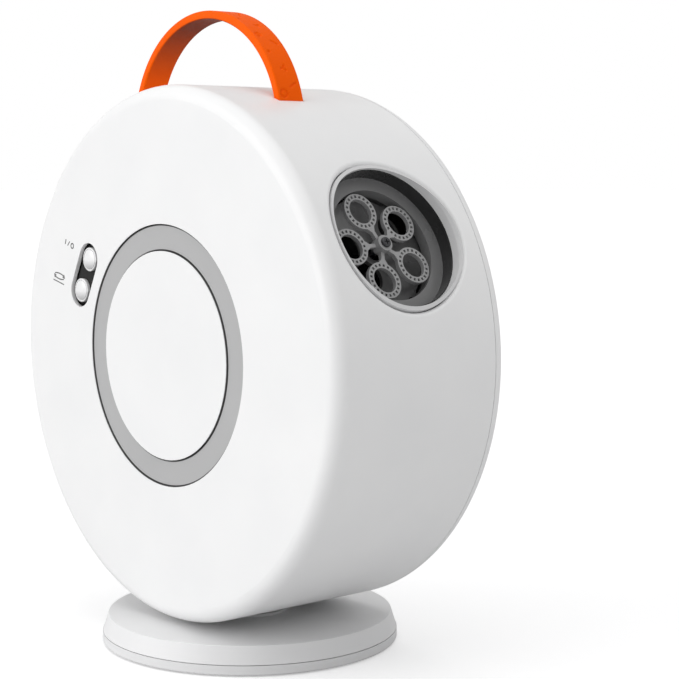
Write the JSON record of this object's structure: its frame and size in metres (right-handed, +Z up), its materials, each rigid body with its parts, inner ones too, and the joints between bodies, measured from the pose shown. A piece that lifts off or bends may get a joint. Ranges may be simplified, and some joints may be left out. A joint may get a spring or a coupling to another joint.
{
  "type": "bubble machine",
  "caption": "Upright round bubble machine on a motorised swivel foot, with a tilted rim outlet, a turning wand wheel, two push buttons and a carry strap.",
  "frame": {"origin": "middle of the foot's underside, on the table", "axes": "+Z up along the swivel axis; -Y out of the front face with the buttons; +X towards the rim with the bubble outlet"},
  "size_m": [0.2, 0.1148, 0.2418],
  "materials": {
    "shell_white": "satin white ABS",
    "button_white": "glossy white ABS",
    "ring_grey": "fine matte light-grey ABS",
    "panel_black": "matte black ABS",
    "strap_orange": "matte orange soft elastomer",
    "wheel_grey": "semi-gloss mid-grey ABS",
    "tank_dark": "smooth dark-grey polypropylene",
    "inner_plastic": "matte grey moulding",
    "acetal": "natural acetal",
    "steel": "zinc-plated steel",
    "bronze": "sintered bronze",
    "rubber_foot": "soft black rubber",
    "seal_rubber": "silicone rubber",
    "board": "solder-masked board",
    "component_black": "moulded case",
    "cell_wrap": "printed foil wrap"
  },
  "bodies": {
    "base": {"base_plate": "shell_white", "base_cover": "shell_white", "base_feet": "rubber_foot", "base_screws": "steel", "pivot_post": "acetal", "thrust_washer": "acetal", "sun_gear": "acetal", "retaining_washer": "steel", "retaining_screw": "steel"},
    "drum": {"drum_shell": "shell_white", "rear_cover": "shell_white", "rear_screws": "steel", "face_ring": "ring_grey", "button_panel": "panel_black", "tact_switches": "component_black", "control_board": "board", "board_components": "component_black", "board_screws": "steel", "outlet_bezel": "ring_grey", "mouth_seal": "seal_rubber", "solution_tank": "tank_dark", "tank_gasket": "seal_rubber", "tank_cover": "tank_dark", "tank_screws": "steel", "shaft_bush": "acetal", "shaft_seal": "seal_rubber", "wheel_bracket": "steel", "wheel_gearmotor": "component_black", "air_duct": "tank_dark", "fan_housing": "inner_plastic", "fan_cover": "inner_plastic", "fan_screws": "steel", "fan_motor": "steel", "swivel_bush": "bronze", "swivel_bracket": "steel", "swivel_gearmotor": "component_black", "swivel_screws": "steel", "battery_box": "inner_plastic", "battery_cells": "cell_wrap", "battery_contacts": "steel", "battery_springs": "steel", "carry_strap": "strap_orange", "strap_clamps": "inner_plastic", "strap_screws": "steel"},
    "wand": {"wand_wheel": "wheel_grey", "wheel_shaft": "steel", "hub_screw": "steel", "wheel_gear": "acetal"},
    "wand_drive": {"wheel_pinion": "acetal", "wheel_motor_shaft": "steel"},
    "fan": {"fan_impeller": "inner_plastic", "fan_shaft": "steel"},
    "swivel_drive": {"swivel_pinion": "acetal", "swivel_motor_shaft": "steel"},
    "power_button": {"power_button": "button_white", "power_plunger": "acetal"},
    "rotation_button": {"rotation_button": "button_white", "rotation_plunger": "acetal"},
    "battery_door": {"battery_door": "shell_white", "door_screws": "steel"}
  },
  "joints": [
    {"name": "drum_swivel", "type": "hinge", "parent": "base", "child": "drum", "pos_m": [0, 0, 0.02], "axis": [0, 0, 1], "continuous": true},
    {"name": "swivel_pinion_turn", "type": "hinge", "parent": "drum", "child": "swivel_drive", "pos_m": [-0.02315, 0, 0.0295], "axis": [0, 0, 1], "continuous": true},
    {"name": "wand_turn", "type": "hinge", "parent": "drum", "child": "wand", "pos_m": [0.07734, -0.0015, 0.15499], "axis": [0.8788, 0, 0.4772], "continuous": true},
    {"name": "wand_pinion_turn", "type": "hinge", "parent": "drum", "child": "wand_drive", "pos_m": [0.04611, -0.0015, 0.12239], "axis": [0.8788, 0, 0.4772], "continuous": true},
    {"name": "fan_spin", "type": "hinge", "parent": "drum", "child": "fan", "pos_m": [-0.01037, 0, 0.15229], "axis": [0, 1, 0], "continuous": true},
    {"name": "power_press", "type": "slide", "parent": "drum", "child": "power_button", "axis": [0, 1, 0], "range_m": [0, 0.0008], "stiffness_N_per_m": 1200},
    {"name": "rotation_press", "type": "slide", "parent": "drum", "child": "rotation_button", "axis": [0, 1, 0], "range_m": [0, 0.0008], "stiffness_N_per_m": 1200},
    {"name": "battery_door_lift", "type": "slide", "parent": "drum", "child": "battery_door", "axis": [0, 1, 0], "range_m": [0, 0.03]}
  ],
  "couplings": [
    {"joint": "swivel_pinion_turn", "follows": "drum_swivel", "ratio": 2.2857},
    {"joint": "wand_pinion_turn", "follows": "wand_turn", "ratio": -1.8333}
  ]
}
